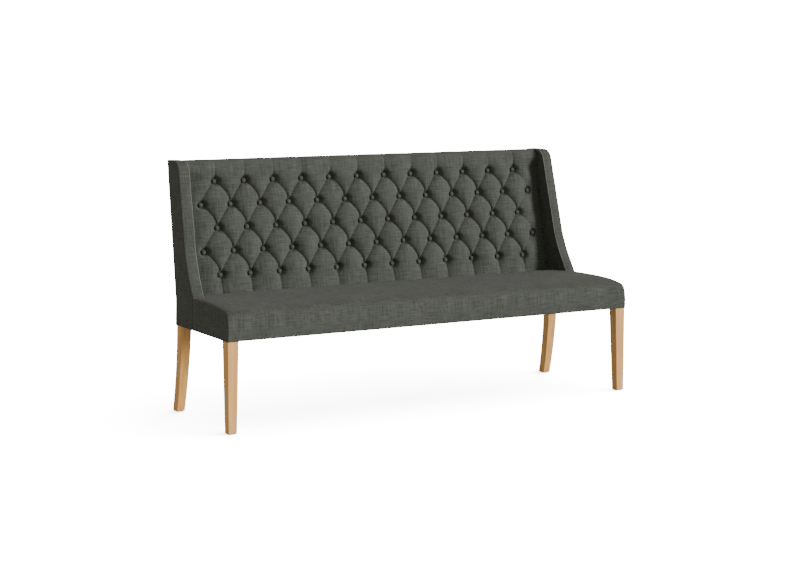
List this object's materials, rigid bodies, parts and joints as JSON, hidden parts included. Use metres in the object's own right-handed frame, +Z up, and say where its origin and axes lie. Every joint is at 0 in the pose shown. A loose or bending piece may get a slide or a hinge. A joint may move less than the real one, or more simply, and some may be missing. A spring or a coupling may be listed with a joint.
{
  "type": "dining sofa",
  "caption": "Upholstered dining bench with deep-buttoned back between padded wings, sprung seat and tapered oak legs, for seating along a table.",
  "frame": {"origin": "on the floor, midway between front and rear and between the two sides", "axes": "+Z up, -Y towards the front where the sitter's legs hang, +X to the right seen from the front"},
  "size_m": [1.8, 0.6005, 0.9728],
  "materials": {
    "cover_fabric": "dark grey green slub weave",
    "black_cloth": "thin black bottoming cloth",
    "foam": null,
    "wadding": "white polyester wadding",
    "hessian": "coarse brown hessian",
    "beech": "planed beech",
    "birch_ply": "birch plywood",
    "oak": "pale oak, satin lacquer",
    "spring_steel": "oil-tempered wire",
    "zinc_steel": "zinc-plated",
    "twine": "waxed linen twine",
    "plastic": "black nylon"
  },
  "bodies": {
    "root": {"seat_cover": "cover_fabric", "seat_wadding": "wadding", "seat_foam": "foam", "right_wing_cover": "cover_fabric", "left_wing_cover": "cover_fabric", "right_wing_foam": "foam", "left_wing_foam": "foam", "right_side_panel": "birch_ply", "left_side_panel": "birch_ply", "tufted_back_pad": "cover_fabric", "back_buttons": "cover_fabric", "back_board": "birch_ply", "button_twines": "twine", "twine_toggles": "plastic", "right_back_post": "beech", "left_back_post": "beech", "back_uprights": "beech", "top_rail": "beech", "stay_rail": "beech", "outside_back_cover": "cover_fabric", "front_rail": "beech", "rear_rail": "beech", "right_side_rail": "beech", "left_side_rail": "beech", "cross_rails": "beech", "corner_blocks": "beech", "corner_screws": "zinc_steel", "seat_springs": "spring_steel", "spring_clips": "zinc_steel", "seat_hessian": "hessian", "dust_cover": "black_cloth", "right_front_leg": "oak", "left_front_leg": "oak", "right_rear_leg": "oak", "left_rear_leg": "oak", "leg_plates": "zinc_steel", "leg_bolts": "zinc_steel", "leg_glides": "plastic"}
  },
  "joints": []
}
